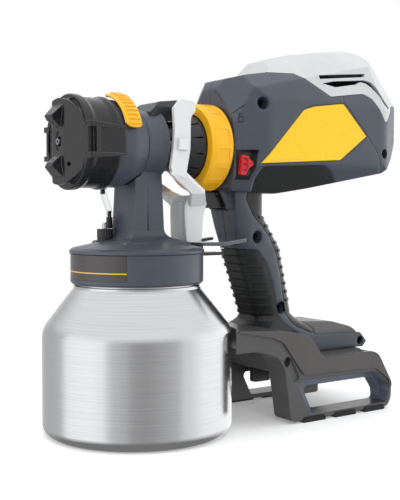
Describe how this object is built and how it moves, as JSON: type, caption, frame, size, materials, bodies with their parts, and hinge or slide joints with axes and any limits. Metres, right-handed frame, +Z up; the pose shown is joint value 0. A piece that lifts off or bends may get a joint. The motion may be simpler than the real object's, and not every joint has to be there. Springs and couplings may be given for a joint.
{
  "type": "handheld paint sprayer",
  "caption": "Cordless handheld paint sprayer with horned air cap, metal paint cup, trigger, turbine housing and a battery stand with a carrying window.",
  "frame": {"origin": "centre of the cup's base, on the floor", "axes": "+Z up, the gun sprays towards -X, the user's left side is -Y"},
  "size_m": [0.2748, 0.12, 0.2557],
  "materials": {
    "cup_metal": "satin bead-blasted metal",
    "steel": "bright",
    "casing": "fine-grained moulded plastic",
    "dark_plastic": "fine-grained moulded plastic",
    "black_plastic": "satin moulded plastic",
    "rubber": "soft-touch overmould",
    "seal": "matt",
    "yellow_plastic": "satin moulded plastic",
    "yellow_panel": "glossy film",
    "silver_paint": "silver paint on plastic",
    "pale_cover": "silver-grey moulded plastic",
    "clear_hose": "clear flexible hose",
    "label": "printed label stock, bare",
    "red_plastic": "gloss moulded plastic",
    "foam": "open-cell filter mat",
    "board": "coated circuit board"
  },
  "bodies": {
    "gun": {"cup": "cup_metal", "cup_gasket": "seal", "suction_tube": "pale_cover", "tube_seal": "seal", "collar": "casing", "collar_label": "label", "spray_body": "casing", "top_hood": "dark_plastic", "valve_base": "black_plastic", "valve_nut": "black_plastic", "valve_pin": "steel", "hose_elbow": "black_plastic", "vent_hose": "clear_hose", "hose_nipple": "black_plastic", "nozzle_nut": "casing", "nozzle": "steel", "nozzle_seal": "yellow_plastic", "needle_spring": "steel", "packing_nut": "steel", "trigger_pin": "steel", "rear_plug": "dark_plastic", "plug_ring": "seal", "air_socket": "dark_plastic", "guard_fork": "casing", "guard_tongue": "dark_plastic", "housing_left": "casing", "housing_right": "casing", "rear_shell": "casing", "side_panel_left": "yellow_panel", "side_panel_right": "yellow_panel", "top_cover": "pale_cover", "filter_mat": "foam", "rear_grip": "rubber", "front_grip": "rubber", "foot_pad_top": "dark_plastic", "housing_screws": "steel", "switch_body": "black_plastic", "motor": "steel", "turbine_shroud": "dark_plastic", "control_board": "board", "battery_terminal": "black_plastic", "stand_left": "casing", "stand_right": "casing", "bumper_left": "rubber", "bumper_right": "rubber", "foot_pads_left": "seal", "foot_pads_right": "seal"},
    "air_cap": {"air_cap": "black_plastic"},
    "width_lever": {"width_lever": "yellow_plastic"},
    "trigger": {"trigger": "silver_paint"},
    "needle": {"needle": "steel", "needle_carrier": "silver_paint"},
    "lock_ring": {"lock_ring": "yellow_plastic"},
    "switch_button": {"switch_button": "black_plastic"},
    "release_latch": {"release_latch": "red_plastic"},
    "turbine": {"turbine_wheel": "pale_cover"}
  },
  "joints": [
    {"name": "air_cap_turn", "type": "hinge", "parent": "gun", "child": "air_cap", "pos_m": [0, 0, 0.1813], "axis": [1, 0, 0], "range_deg": [0, 90]},
    {"name": "spray_width", "type": "hinge", "parent": "gun", "child": "width_lever", "pos_m": [0, 0, 0.1813], "axis": [1, 0, 0], "range_deg": [-40, 0]},
    {"name": "trigger_pull", "type": "hinge", "parent": "gun", "child": "trigger", "pos_m": [0.02, 0, 0.2035], "axis": [0, -1, 0], "range_deg": [0, 7.5], "stiffness_Nm_per_rad": 0.6, "springref_deg": -8.59},
    {"name": "needle_slide", "type": "slide", "parent": "gun", "child": "needle", "axis": [1, 0, 0], "range_m": [0, 0.004], "deforming": ["needle_spring"]},
    {"name": "lock_ring_turn", "type": "hinge", "parent": "gun", "child": "lock_ring", "pos_m": [0, 0, 0.1813], "axis": [1, 0, 0], "range_deg": [0, 35]},
    {"name": "switch_press", "type": "slide", "parent": "gun", "child": "switch_button", "axis": [1, 0, 0], "range_m": [0, 0.0075], "stiffness_N_per_m": 150, "springref_m": -0.004},
    {"name": "latch_pull", "type": "slide", "parent": "gun", "child": "release_latch", "axis": [1, 0, 0], "range_m": [0, 0.0025], "stiffness_N_per_m": 300, "springref_m": -0.003},
    {"name": "turbine_spin", "type": "hinge", "parent": "gun", "child": "turbine", "pos_m": [0, 0, 0.1903], "axis": [1, 0, 0], "continuous": true}
  ],
  "couplings": [
    {"joint": "needle_slide", "follows": "trigger_pull", "m_per_rad": 0.02195}
  ]
}
